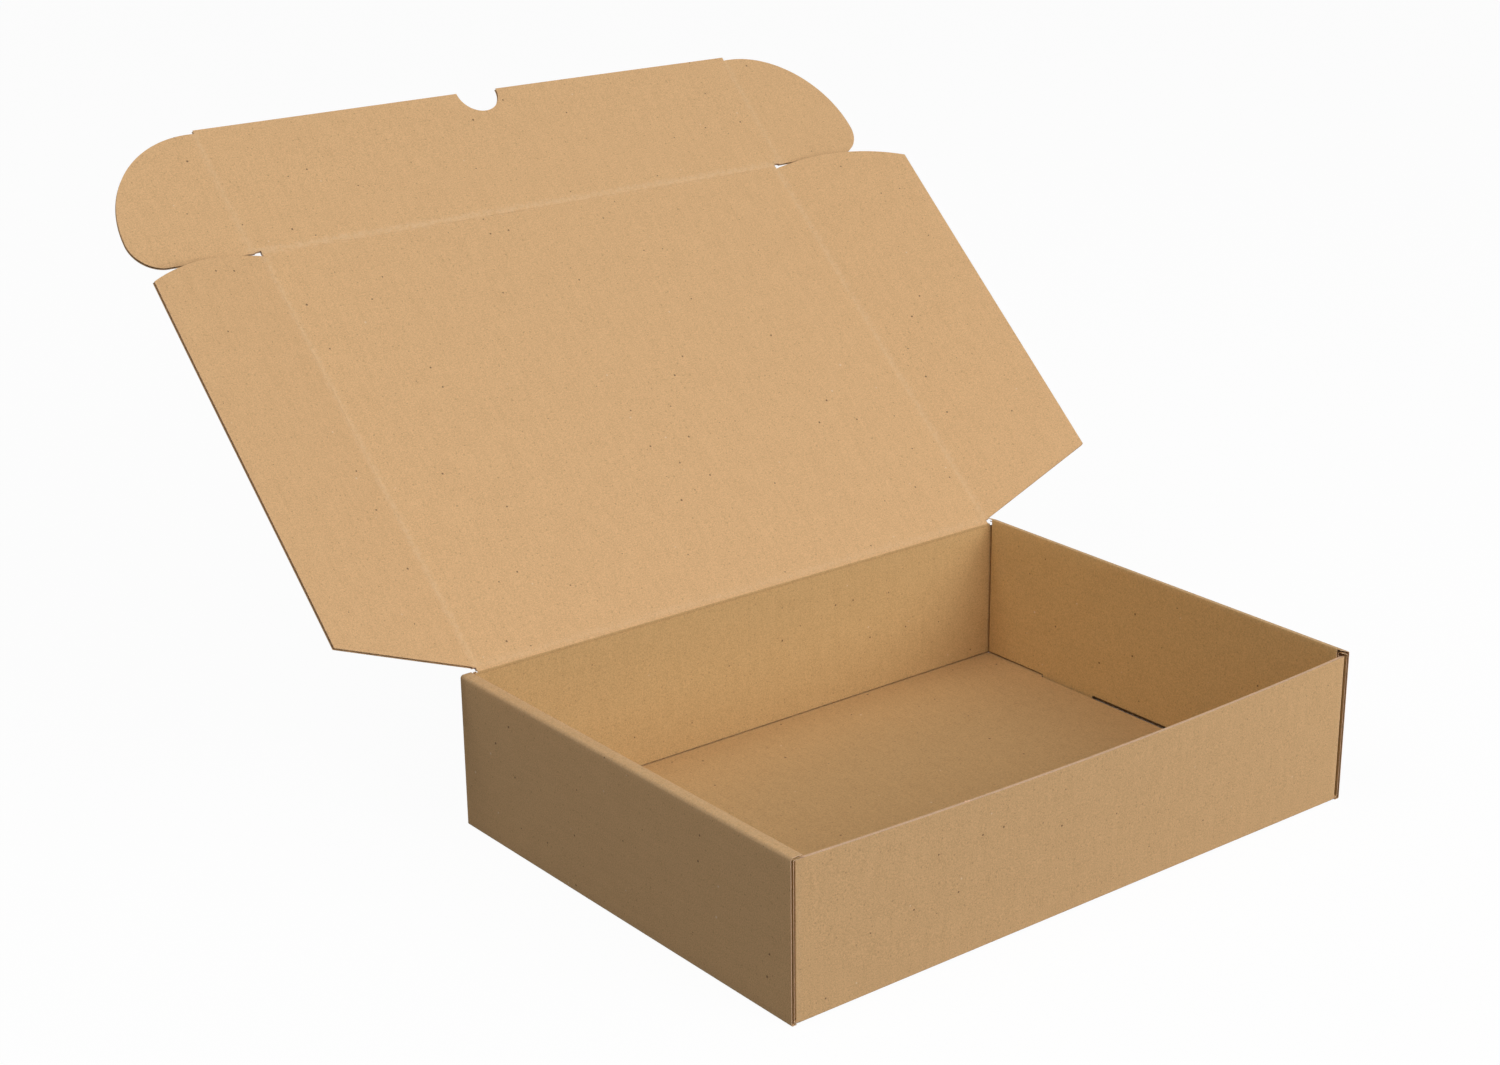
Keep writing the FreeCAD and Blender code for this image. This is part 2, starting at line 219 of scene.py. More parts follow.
tree, take, give = group(
    "fold_scuff_and_sheen",
    [("Place", "Vector", None), ("Near", "Float", 0.0), ("Strength", "Float", 0.0),
     ("Reach", "Float", 2.4)],
    [("Mask", "Float")])
far = maths(tree, "MULTIPLY", maths(tree, "SUBTRACT", 1.0, take.outputs["Near"]), SCUFF_SHEEN_REACH)
share = maths(tree, "DIVIDE", far, take.outputs["Reach"])
patches = noise(tree, take.outputs["Place"], PATCH_WAVES, 3.0, 0.6)
mask = maths(tree, "MULTIPLY_ADD", centred(tree, patches), PATCH_CONTRAST,
             maths(tree, "SUBTRACT", ON_THE_FOLD, share))
fade = maths(tree, "SUBTRACT", END_OF_SCUFF_SHEEN, share, clamp=True)
mask = maths(tree, "MULTIPLY", maths(tree, "ADD", mask, 0.0, clamp=True), fade)
mask = maths(tree, "MULTIPLY", mask, take.outputs["Strength"], clamp=True)
tree.links.new(mask, give.inputs["Mask"])
fold_scuff_sheen = tree
print("node group", tree.name, "has", len(tree.nodes), "nodes")

# %% [markdown]
# ## The finishes
# The liners are the smooth brown faces, and the one on the inside is a little paler. Inside the
# tray the papers are copies written yellower, to offset the redder light that bounces between the
# tray's walls, and those of the walls and the floor also darker, as painted shade, each by as much
# as its place needs. The hinge's band is darker still: painted shade in its fold. The cut edge has
# its fibres laid open, so it is pale and rough, and the fluting is browner. Two attributes of the
# meshes say how near a point is to a fold and how strong the pale band there is; that band is
# partly scuffed paper and partly a painted highlight.

# %% Materials
FAINT_TINT, LIGHT_TINT, BOLD_TINT = (0.30, 0.16, 0.07), (0.83, 0.66, 0.45), (0.13, 0.065, 0.03)
ROSY = (1.03, 0.965, 0.97)  # times the pale brown
HUE_CONTRAST = 2.5
CLOUD_WAVES, STREAKS = 140.0, 0.45
SCUFF_SHEEN_BAND = 3.5
RELIEF = 0.0002


def mix_colour(tree, share, first, second):
    """Mix two colours; each is a triple or a socket, and so is the share a number or a socket."""
    node = tree.nodes.new("ShaderNodeMix")
    node.data_type = "RGBA"
    for socket, value in ((node.inputs[0], share), (node.inputs[6], first), (node.inputs[7], second)):
        if isinstance(value, (int, float)):
            socket.default_value = value
        elif isinstance(value, tuple):
            socket.default_value = (*value, 1.0)
        else:
            tree.links.new(value, socket)
    return node.outputs[2]


def use(tree, shared, **values):
    """Place a shared group; values are numbers or sockets by input name."""
    node = tree.nodes.new("ShaderNodeGroup")
    node.node_tree = shared
    for label, value in values.items():
        if isinstance(value, (int, float)):
            node.inputs[label].default_value = value
        else:
            tree.links.new(value, node.inputs[label])
    return node.outputs


def kraft(name, pale, dark, scuff_sheen_colour, fine=1700.0, bump=0.35, ribs=0.0, speck_share=0.13):
    """One paper finish: mottled between two browns, specked, and paler near its folds, partly as scuffed
    paper and partly as a painted highlight.
    """
    material = bpy.data.materials.new(name)
    material.use_nodes = True
    tree = material.node_tree
    shader = tree.nodes["Principled BSDF"]
    where = tree.nodes.new("ShaderNodeTexCoord")
    place, sheet = where.outputs["Object"], where.outputs["UV"]
    fibres = use(tree, paper_fibres, Place=place, Sheet=sheet, Fine=fine, Cloud=CLOUD_WAVES,
                 Streaks=STREAKS)
    colour = mix_colour(tree, fibres["Tone"], dark, pale)
    hue = maths(tree, "MULTIPLY_ADD", centred(tree, fibres["Hue"]), HUE_CONTRAST, 0.5, clamp=True)
    rosy = tuple(c * k for c, k in zip(pale, ROSY))
    colour = mix_colour(tree, maths(tree, "MULTIPLY", hue, 0.5), colour, rosy)
    if speck_share:
        faint = use(tree, specks, Sheet=sheet, Scale=290.0, Share=0.32, Size=0.10)
        bold = use(tree, specks, Sheet=sheet, Scale=90.0, Share=speck_share, Size=0.037)
        light = use(tree, specks, Sheet=sheet, Scale=75.0, Share=speck_share * 0.5, Size=0.032)
        for mask, most, tint in ((faint, 0.36, FAINT_TINT), (light, 0.6, LIGHT_TINT),
                                 (bold, 0.85, BOLD_TINT)):
            colour = mix_colour(tree, maths(tree, "MULTIPLY", mask["Mask"], most), colour, tint)
    near = tree.nodes.new("ShaderNodeAttribute")
    near.attribute_name = "crease"
    scuff_sheen_strength = tree.nodes.new("ShaderNodeAttribute")
    scuff_sheen_strength.attribute_name = "scuff_sheen_strength"
    scuff_sheen_map = use(tree, fold_scuff_sheen, Place=place, Near=near.outputs["Fac"], Strength=scuff_sheen_strength.outputs["Fac"],
               Reach=SCUFF_SHEEN_BAND)
    # Pale band at the folds: partly scuffed paper, partly a painted highlight on the crease's relief.
    colour = mix_colour(tree, scuff_sheen_map["Mask"], colour, scuff_sheen_colour)
    tree.links.new(colour, shader.inputs["Base Color"])
    rough = maths(tree, "MULTIPLY_ADD", fibres["Tone"], 0.12, 0.78)
    tree.links.new(rough, shader.inputs["Roughness"])
    shader.inputs["Specular IOR Level"].default_value = 0.28
    height = fibres["Height"]
    if ribs:
        across = tree.nodes.new("ShaderNodeSeparateXYZ")
        tree.links.new(sheet, across.inputs[0])
        turns = maths(tree, "MULTIPLY", across.outputs[1], 2 * math.pi / (PITCH * MM))
        wave = maths(tree, "SINE", turns)
        height = maths(tree, "MULTIPLY_ADD", wave, ribs, height)
    relief = tree.nodes.new("ShaderNodeBump")
    relief.inputs["Strength"].default_value = bump
    relief.inputs["Distance"].default_value = RELIEF
    tree.links.new(height, relief.inputs["Height"])
    tree.links.new(relief.outputs[0], shader.inputs["Normal"])
    return material


inside_paper = kraft("kraft_inside", (0.80, 0.515, 0.260), (0.565, 0.350, 0.168), (0.80, 0.56, 0.33),
                     ribs=0.1)
# Copies of the liners for inside the tray: the walls' and the floor's are darker, as painted shade, and
# all three are yellower, to offset the redder bounce light there.
tray_paper_painted_shade = kraft("kraft_tray_inside_painted_shade", (0.70, 0.475, 0.220), (0.49, 0.315, 0.133), (0.73, 0.51, 0.27),
                   ribs=0.1)
side_paper_painted_bounce_tint = kraft("kraft_side_inside_painted_bounce_tint", (0.735, 0.495, 0.212), (0.505, 0.328, 0.131), (0.74, 0.53, 0.28),
                   ribs=0.1)
# The hinge's band: a darker copy of the inner liner, painted shade in the fold.
hinge_paper_painted_shade = kraft("kraft_hinge_painted_shade", (0.63, 0.418, 0.192), (0.43, 0.270, 0.112), (0.68, 0.46, 0.23))
floor_paper_painted_shade = kraft("kraft_floor_painted_shade", (0.672, 0.433, 0.199), (0.470, 0.287, 0.120), (0.70, 0.47, 0.25),
                    ribs=0.1)
outside_paper = kraft("kraft_outside", (0.74, 0.475, 0.235), (0.51, 0.315, 0.145), (0.74, 0.52, 0.30),
                      ribs=0.1)
cut_paper = kraft("cut_edge", (0.80, 0.57, 0.38), (0.56, 0.36, 0.21), (0.80, 0.57, 0.38),
                  fine=2600.0, bump=0.5, speck_share=0.0)
flute_paper = kraft("fluting", (0.50, 0.31, 0.15), (0.36, 0.21, 0.09), (0.50, 0.31, 0.15), fine=1800.0)
print("finishes:", ", ".join(m.name for m in bpy.data.materials))

# %% [markdown]
# ## From the flat sheet to the folded board
# A carton is drawn flat and folded afterwards, and this script does the same. An outline is
# drawn on the sheet in two lengths: s runs along the flutes and w across them. A place function
# then says where a point of the sheet, at a depth in the board, comes to lie in space. The
# same outline so makes both liners and the fluting, and they always fit.

# %% Corners and arcs of an outline
def arc(cx, cy, radius, start, end, steps):
    """Points on a circle from one angle to another, in degrees."""
    return [(cx + radius * math.cos(math.radians(a)), cy + radius * math.sin(math.radians(a)))
            for a in np.linspace(start, end, steps + 1)]


def mirrored(outline):
    """The same outline for the other hand, still counter-clockwise."""
    return [(-s, w) for s, w in reversed(outline)]


def flat(where, pull=None):
    """Place function of a flat board: depth 0 is the inner face, and pull bows it a little."""
    spin = np.array(where.to_3x3())
    base = np.array(where.translation)

    def place(s, w, depth):
        s, w = np.asarray(s, float), np.asarray(w, float)
        z = -np.asarray(depth, float) + (pull(s, w) if pull else 0.0 * s)
        return base + s[:, None] * spin[:, 0] + w[:, None] * spin[:, 1] + z[:, None] * spin[:, 2]

    return place


def leaning(degrees, axis):
    return Matrix.Rotation(math.radians(degrees), 4, axis)


lid_frame = Matrix.Translation((0, HINGE_Y, HINGE_Z)) @ leaning(LID_LEAN, "X")
tuck_frame = lid_frame @ Matrix.Translation((0, TUCK_CREASE, 0)) @ leaning(TUCK_LEAN, "X")
flap_frames = {side: lid_frame @ Matrix.Translation((side * SIDE_CREASE, 0, 0))
               @ leaning(-FLAP_LEAN * side, "Y") for side in (-1, 1)}
ear_frames = {side: tuck_frame @ Matrix.Translation((side * EAR_CREASE, 0, 0)) for side in (-1, 1)}
print("tuck crease at", [round(x, 2) for x in tuck_frame.translation], "mm")


# %% A path with rounded corners, for the parts that wrap around the tray
def fold_path(corners, radius, depth, least, steps=5):
    """Distances along the outer face, and the points at that depth, of a path that turns left."""
    corners = [np.array(c, float) for c in corners]
    radii = list(np.broadcast_to(radius, len(corners) - 2))
    along = [(b - a) / np.linalg.norm(b - a) for a, b in zip(corners, corners[1:])]
    left = [np.array((-d[1], d[0])) for d in along]
    points, distance, used = [corners[0] + depth * left[0]], [0.0], 0.0
    for i in range(1, len(corners) - 1):
        turn = math.acos(np.clip(along[i - 1] @ along[i], -1, 1))
        cut, radius = math.tan(turn / 2), radii[i - 1]
        r = max(radius - depth, least)
        inner = corners[i] + depth * (left[i - 1] + left[i]) / (1 + left[i - 1] @ left[i])
        start = distance[-1] + np.linalg.norm(corners[i] - corners[i - 1]) - used - radius * cut
        centre = inner - r * cut * along[i - 1] + r * left[i - 1]
        for k in range(steps + 1):
            angle = turn * k / steps
            points.append(centre - r * left[i - 1] * math.cos(angle) + r * along[i - 1] * math.sin(angle))
            distance.append(start + radius * angle)
        used = radius * cut
    points.append(corners[-1] + depth * left[-1])
    distance.append(distance[-1] + np.linalg.norm(corners[-1] - corners[-2]) - used)
    return np.array(distance), np.array(points)


def folded(corners, radius, axes, pull=None, least=0.15):
    """Place function of a board that follows a path in the plane of two axes, and its fold lines.

    The radius is one number, or one for each corner, and none comes out under least. The pull
    moves the points a little."""
    spans = {}

    def place(s, w, depth):
        depth = np.broadcast_to(np.asarray(depth, float), np.shape(s))
        out = np.zeros((len(s), 3))
        for d in np.unique(depth):
            if d not in spans:
                spans[d] = fold_path(corners, radius, d, least)
            distance, points = spans[d]
            chosen = depth == d
            for k, axis in enumerate(axes[:2]):
                out[chosen, axis] = np.interp(np.asarray(s)[chosen], distance, points[:, k])
            out[chosen, axes[2]] = np.asarray(w)[chosen]
        return pull(out) if pull else out

    return place, fold_path(corners, radius, 0.0, least)[0]


# %% [markdown]
# ## Liners
# A liner is a thin sheet of paper cut to the outline. A Delaunay triangulation fills the
# outline with small, even triangles, so the sheet can fold and bow wherever it has to, and
# rounded ears and a notch are no harder than a rectangle.

# %% Fill an outline
def spaced(loop, step, columns=()):
    """The loop's corners with points between them: one on each fold line, and no wide gaps."""
    out = []
    for a, b in zip(loop, loop[1:] + loop[:1]):
        count = max(1, math.ceil(math.dist(a, b) / step))
        shares = {k / count for k in range(count)}
        if abs(b[0] - a[0]) > 1e-6:
            on_folds = [(s - a[0]) / (b[0] - a[0]) for s in columns]
            on_folds = [share for share in on_folds if 1e-6 < share < 1 - 1e-6]
            reach = 0.1 * step / math.dist(a, b)
            shares = {v for v in shares if v == 0 or all(abs(v - share) > reach for share in on_folds)}
            shares |= set(on_folds)
        out += [(a[0] + (b[0] - a[0]) * share, a[1] + (b[1] - a[1]) * share) for share in sorted(shares)]
    return out


def inside(points, loop):
    """Which points lie inside a loop."""
    x, y = points[:, 0], points[:, 1]
    hit = np.zeros(len(points), bool)
    for (ax, ay), (bx, by) in zip(loop, loop[1:] + loop[:1]):
        if ay != by:
            hit ^= ((ay > y) != (by > y)) & (x < (bx - ax) * (y - ay) / (by - ay) + ax)
    return hit


def crossings(loops, w):
    """Where a line across the outline at height w enters and leaves the board."""
    found = []
    for loop in loops:
        for (ax, ay), (bx, by) in zip(loop, loop[1:] + loop[:1]):
            if (ay > w) != (by > w):
                found.append(ax + (w - ay) * (bx - ax) / (by - ay))
    found.sort()
    return list(zip(found[::2], found[1::2]))


def filled(outline, holes, folds, step=GRID_STEP):
    """Points and triangles of the outline, with columns of points on every fold line."""
    reach = [s for s, w in outline]
    columns = [s for s in folds if min(reach) + 0.01 < s < max(reach) - 0.01]
    loops = [spaced(list(loop), step, columns) for loop in [outline, *holes]]
    points, edges = [], []
    for loop in loops:
        first = len(points)
        points += loop
        edges += [(first + i, first + (i + 1) % len(loop)) for i in range(len(loop))]
    ring = np.array(points)
    lo, hi = ring.min(0), ring.max(0)
    turned = [[(w, s) for s, w in loop] for loop in loops]
    for s in columns:
        for a, b in crossings(turned, s + 1e-4):
            count = max(2, math.ceil((b - a) / step))
            line = [(s, w) for w in np.linspace(a, b, count + 1)]
            first = len(points)
            points += line
            edges += [(first + i, first + i + 1) for i in range(len(line) - 1)]
    grid = np.array([(s, w) for s in np.arange(lo[0] + step / 2, hi[0], step)
                     for w in np.arange(lo[1] + step / 2, hi[1], step)])
    if len(grid):
        keep = inside(grid, loops[0])
        for loop in loops[1:]:
            keep &= ~inside(grid, loop)
        for s in columns:
            keep &= np.abs(grid[:, 0] - s) > 1.5
        everything = np.array(points)
        near = np.array([np.min(np.hypot(*(everything - g).T)) for g in grid])
        points += [tuple(g) for g in grid[keep & (near > 0.4 * step)]]
    flat_points, _, faces, *_ = delaunay_2d_cdt([Vector(p) for p in points], edges, [], 1, 1e-5)
    flat_points = np.array([tuple(p) for p in flat_points])
    faces = np.array([tuple(f) for f in faces])
    middle = flat_points[faces].mean(1)
    keep = inside(middle, loops[0])
    for loop in loops[1:]:
        keep &= ~inside(middle, loop)
    return flat_points, faces[keep]


# %% Turn a filled outline into a closed sheet of paper
def build(name, points, faces, uv, materials, slots=None, scuff_sheen_map=None, sharp=40, closed=True):
    """A mesh object in metres; uv is one (s, w) a point, and the last pair gives each point's nearness to
    a fold and the strength of its pale band, scuffing and painted highlight.
    """
    mesh = bpy.data.meshes.new(name)
    mesh.from_pydata((np.asarray(points) * MM).tolist(), [], [list(map(int, f)) for f in faces])
    corner = np.zeros(len(mesh.loops), int)
    mesh.loops.foreach_get("vertex_index", corner)
    layer = mesh.uv_layers.new(name="sheet")
    layer.data.foreach_set("uv", (np.asarray(uv)[corner] * MM).astype(np.float32).ravel())
    if scuff_sheen_map is not None:
        for label, values in zip(("crease", "scuff_sheen_strength"), scuff_sheen_map):
            mesh.attributes.new(label, "FLOAT", "POINT").data.foreach_set(
                "value", np.asarray(values, np.float32))
    for material in materials:
        mesh.materials.append(material)
    if slots is not None:
        mesh.polygons.foreach_set("material_index", np.asarray(slots, np.int32))
    mesh.polygons.foreach_set("use_smooth", [True] * len(mesh.polygons))
    if closed:
        shell = bmesh.new()
        shell.from_mesh(mesh)
        bmesh.ops.recalc_face_normals(shell, faces=shell.faces)
        shell.to_mesh(mesh)
        shell.free()
    mesh.set_sharp_from_angle(angle=math.radians(sharp))
    mesh.validate()
    mesh.update()
    obj = bpy.data.objects.new(name, mesh)
    scene.collection.objects.link(obj)
    return obj


def border(faces):
    """The directed edges that only one triangle has."""
    seen = {}
    for f in faces:
        for a, b in ((f[0], f[1]), (f[1], f[2]), (f[2], f[0])):
            seen[(a, b)] = True
    return [e for e in seen if (e[1], e[0]) not in seen]


def liner(name, body, outline, place, top, paper, holes=(), folds=(), scuff_sheen_map=None, down=1, thick=LINER,
          zone=None):
    """One paper face: top is the depth of its visible side, and down is -1 if that is the far side.

    A zone is (paper, low, high): between these two values of s the paper is another one."""
    flat_points, faces = filled(outline, holes, folds)
    s, w = flat_points[:, 0], flat_points[:, 1]
    shown = place(s, w, np.full(len(s), top))
    under = place(s, w, np.full(len(s), top + down * thick))
    count = len(s)
    rim = [(b, a, a + count, b + count) for a, b in border(faces)]
    every = faces.tolist() + (faces[:, ::-1] + count).tolist() + rim
    papers, own = [paper, cut_paper], np.zeros(len(faces), int)
    if zone:
        middle = s[faces].mean(1)
        own[(middle > zone[1]) & (middle < zone[2])] = 2
        papers.append(zone[0])
    slots = [*own, *own] + [1] * len(rim)
    near, scuff_sheen_strength = scuff_sheen_map(s, w) if scuff_sheen_map else np.zeros((2, count))
    obj = build(name, np.vstack([shown, under]), every, np.vstack([flat_points] * 2),
                papers, slots, (np.tile(near, 2), np.tile(scuff_sheen_strength, 2)))
    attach(obj, body)
    print(name, len(every), "faces")
    return obj


# %% [markdown]
# ## Fluting
# The fluting is a wave that repeats every three millimetres or so over the whole sheet, so it
# is made by Geometry Nodes. The script lays a plain sheet half way through the board, with
# each point's distance across the flutes stored on it. The node tree lifts it into a wave,
# gives it the paper's thickness, and sets its finish. Where a board bows, the plain sheet has
# points between its edges, so the fluting bows too and stays between its liners.

# %% Geometry Nodes tree for the fluting
flute_tree = bpy.data.node_groups.new("fluting", "GeometryNodeTree")
face = flute_tree.interface
face.new_socket("Geometry", in_out="INPUT", socket_type="NodeSocketGeometry")
for label, value in (("Pitch", PITCH * MM), ("Wave", WAVE * MM), ("Paper", FLUTE_PAPER * MM)):
    socket = face.new_socket(label, in_out="INPUT", socket_type="NodeSocketFloat")
    socket.default_value = value
face.new_socket("Finish", in_out="INPUT", socket_type="NodeSocketMaterial")
face.new_socket("Geometry", in_out="OUTPUT", socket_type="NodeSocketGeometry")
nodes, links = flute_tree.nodes, flute_tree.links
take, give = nodes.new("NodeGroupInput"), nodes.new("NodeGroupOutput")
across = nodes.new("GeometryNodeInputNamedAttribute")
across.data_type = "FLOAT"
across.inputs["Name"].default_value = "across"
turns = maths(flute_tree, "DIVIDE", across.outputs[0], take.outputs["Pitch"])
swing = maths(flute_tree, "SINE", maths(flute_tree, "MULTIPLY", turns, 2 * math.pi))
height = maths(flute_tree, "MULTIPLY", swing, take.outputs["Wave"])
half_paper = maths(flute_tree, "MULTIPLY", take.outputs["Paper"], 0.5)
lift = maths(flute_tree, "SUBTRACT", height, half_paper)
normal = nodes.new("GeometryNodeInputNormal")
offset = nodes.new("ShaderNodeVectorMath")
offset.operation = "SCALE"
links.new(normal.outputs[0], offset.inputs[0])
links.new(lift, offset.inputs["Scale"])
wave = nodes.new("GeometryNodeSetPosition")
links.new(take.outputs["Geometry"], wave.inputs["Geometry"])
links.new(offset.outputs[0], wave.inputs["Offset"])
thicken = nodes.new("GeometryNodeExtrudeMesh")
thicken.inputs["Individual"].default_value = False
links.new(wave.outputs[0], thicken.inputs["Mesh"])
links.new(take.outputs["Paper"], thicken.inputs["Offset Scale"])
back = nodes.new("GeometryNodeFlipFaces")
links.new(wave.outputs[0], back.inputs[0])
both = nodes.new("GeometryNodeJoinGeometry")
links.new(back.outputs[0], both.inputs[0])
links.new(thicken.outputs["Mesh"], both.inputs[0])
weld = nodes.new("GeometryNodeMergeByDistance")
weld.inputs["Distance"].default_value = 0.002 * MM
links.new(both.outputs[0], weld.inputs[0])
real = nodes.new("GeometryNodeRealizeInstances")
links.new(weld.outputs[0], real.inputs[0])
finish = nodes.new("GeometryNodeSetMaterial")
links.new(real.outputs[0], finish.inputs["Geometry"])
links.new(take.outputs["Finish"], finish.inputs["Material"])
links.new(finish.outputs[0], give.inputs[0])
print("fluting tree has", len(nodes), "nodes")


# %% Lay the sheet, run the tree, and keep the plain mesh
def applied(obj, tree, **values):
    """Evaluate a node tree on an object and keep the result as its plain mesh."""
    modifier = obj.modifiers.new(tree.name, "NODES")
    modifier.node_group = tree
    for item in tree.interface.items_tree:
        if item.item_type == "SOCKET" and item.in_out == "INPUT" and item.name in values:
            modifier[item.identifier] = values[item.name]
    bpy.context.view_layer.update()
    evaluated = obj.evaluated_get(bpy.context.evaluated_depsgraph_get())
    result = bpy.data.meshes.new_from_object(evaluated)
    obj.modifiers.remove(modifier)
    old = obj.data
    result.name = old.name
    obj.data = result
    bpy.data.meshes.remove(old)
    return obj


def fluting(name, body, outline, place, holes=(), folds=(), setback=0.35, margin=0.9, rows=6,
            bends=1):
    """The wavy paper of one board, cut back a little from the outline, as the knife leaves it.

    Each stretch between folds is divided into as many pieces as bends says, to follow a bow. The
    two small waves in the cut, of different lengths, make it a little ragged."""
    loops = [list(outline)] + [list(h) for h in holes]
    lows = min(w for s, w in outline) + margin
    highs = max(w for s, w in outline) - margin
    heights = np.arange(lows, highs, PITCH / rows)
    lines = []
    for w in heights:
        line = []
        for a, b in crossings(loops, w):
            ragged = setback + 0.12 * math.sin(w * 1.9) + 0.08 * math.sin(w * 5.3)
            a, b = a + ragged, b - ragged
            if b - a > 0.5:
                stops = [a] + [s for s in folds if a + 0.2 < s < b - 0.2] + [b]
                parts = [p + (q - p) * k / bends
                         for p, q in zip(stops, stops[1:]) for k in range(bends)]
                line.append(parts + [b])
        lines.append(line)
    points, faces, stored = [], [], []
    starts = []
    for w, line in zip(heights, lines):
        starts.append([])
        for span in line:
            starts[-1].append((len(points), len(span)))
            points += [(s, w) for s in span]
            stored += [w * MM] * len(span)
    for lower, upper in zip(starts, starts[1:]):
        if [n for _, n in lower] == [n for _, n in upper]:
            for (a, n), (b, _) in zip(lower, upper):
                faces += [(a + i, a + i + 1, b + i + 1, b + i) for i in range(n - 1)]
    points = np.array(points)
    middle = place(points[:, 0], points[:, 1], np.full(len(points), BOARD / 2))
    obj = build(name, middle, faces, points, [flute_paper], closed=False)
    obj.data.attributes.new("across", "FLOAT", "POINT").data.foreach_set(
        "value", np.array(stored, np.float32))
    applied(obj, flute_tree, Pitch=PITCH * MM, Wave=WAVE * MM, Paper=FLUTE_PAPER * MM,
            Finish=flute_paper)
    obj.data.polygons.foreach_set("use_smooth", [True] * len(obj.data.polygons))
    obj.data.set_sharp_from_angle(angle=math.radians(60))
    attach(obj, body)
    print(name, len(obj.data.polygons), "faces")
    return obj


# %% [markdown]
# ## The lid, its flaps and its ears
# These six boards are flat. They are the face that the photograph looks at, so they get a
# slight bow, as board that has been folded and opened has. The bow is nothing at the creases,
# where each board meets the next.

# %% Bows, each a smooth wave that is nothing at the board's creases
def bow_lid(s, w):
    """Half a millimetre at the lid's middle."""
    return 0.5 * np.cos(np.pi * s / (2 * SIDE_CREASE)) * np.sin(np.pi * np.clip(w / TUCK_CREASE, 0, 1))


def bow_flap(s, w):
    """Up to a quarter of a millimetre at a side flap's free edge."""
    return 0.25 * (np.abs(s) / 70) ** 2 * np.sin(w / 42.0 + 0.8)


def bow_tuck(s, w):
    """Up to a fifth of a millimetre at the tuck flap's free edge."""
    return 0.2 * (w / 72) ** 2 * np.sin(s / 61.0 + 1.1)


def bow_ear(s, w):
    """Up to a fifth of a millimetre at an ear's tip."""
    return 0.2 * (np.abs(s) / 57) ** 2 * np.cos(w / 30.0)


# %% Outlines on the lid, in millimetres from each crease
ROOT = 2.4  # where the lid and its side creases start, past the hinge's crushed band
RAKE, RAKE_RUN, CREASE_GAP = 17.6, 70.1, 0.1
FLAP_END, FLAP_LEVEL = 229.6, 8  # the end is level as far as this from the crease, then rounded
RIGHT_FLAP = ((70.2, 20.0), (70.2, 211.7))  # the outer edge's two ends
LEFT_FLAP = ((71.8, 20.0), (70.0, 213.4))
EAR_FOOT, EAR_END, EAR_LEVEL = 0.7, 69.8, 16.2
TOE_AT, TOE_RADIUS = 41.8, 15.5
CROWN_AT, CROWN_RADIUS = 3.7, 53.6
TUCK_END, NOTCH_AT, NOTCH_RADIUS, NOTCH_TIP = 71.8, 71.3, 11.6, 2.47

edge = SIDE_CREASE - CRUSH
lid_outline = [(-edge, ROOT), (edge, ROOT), (edge, TUCK_CREASE - CRUSH), (-edge, TUCK_CREASE - CRUSH)]
rake = ROOT + RAKE * (CRUSH - CREASE_GAP) / RAKE_RUN


def flap_shape(low, high):
    """Outline of a side flap: raked at the hinge, straight outside, and rounded from high inwards."""
    across, drop = high[0] - FLAP_LEVEL, FLAP_END - high[1]
    radius = (across ** 2 + drop ** 2) / (2 * drop)
    start = math.degrees(math.acos(across / radius))
    round_end = arc(FLAP_LEVEL, FLAP_END - radius, radius, start, 90, 24)
    return [(CRUSH, rake), low] + round_end + [(CRUSH, FLAP_END)]


flap_outlines = {1: flap_shape(*RIGHT_FLAP), -1: mirrored(flap_shape(*LEFT_FLAP))}
toe = arc(TOE_AT, EAR_LEVEL, TOE_RADIUS, -90, 0, 24)
crown = arc(CROWN_AT, EAR_LEVEL, CROWN_RADIUS, 0, 90, 48)
ear_outline = [(CRUSH, EAR_FOOT)] + toe + crown[1:] + [(CRUSH, EAR_END)]
inner = EAR_CREASE - CRUSH
notch = arc(0, NOTCH_AT, NOTCH_RADIUS, NOTCH_TIP, -180 - NOTCH_TIP, 48)
half_tuck = [(SIDE_CREASE, CRUSH), (SIDE_CREASE, 1.5), (inner, 1.2), (inner, EAR_END),
             (EAR_CREASE, EAR_END), (EAR_CREASE, TUCK_END)]
tuck_outline = half_tuck + notch + mirrored(half_tuck)
print("tuck outline has", len(tuck_outline), "corners")


# %% How near a point of the sheet is to its folds
def nearness(*lines):
    """Pale bands from straight folds, scuffing and painted highlight, each (axis, value, strength): axis
    0 is a fold at one s, 1 at one w.
    """
    def scuff_sheen_map(s, w):
        away = np.array([np.abs((s, w)[axis] - value) for axis, value, _ in lines])
        nearest = np.argmin(away, axis=0)
        scuff_sheen_strength = np.array([strength for _, _, strength in lines])[nearest]
        return np.clip(1 - away.min(0) / SCUFF_SHEEN_REACH, 0, 1), scuff_sheen_strength

    return scuff_sheen_map


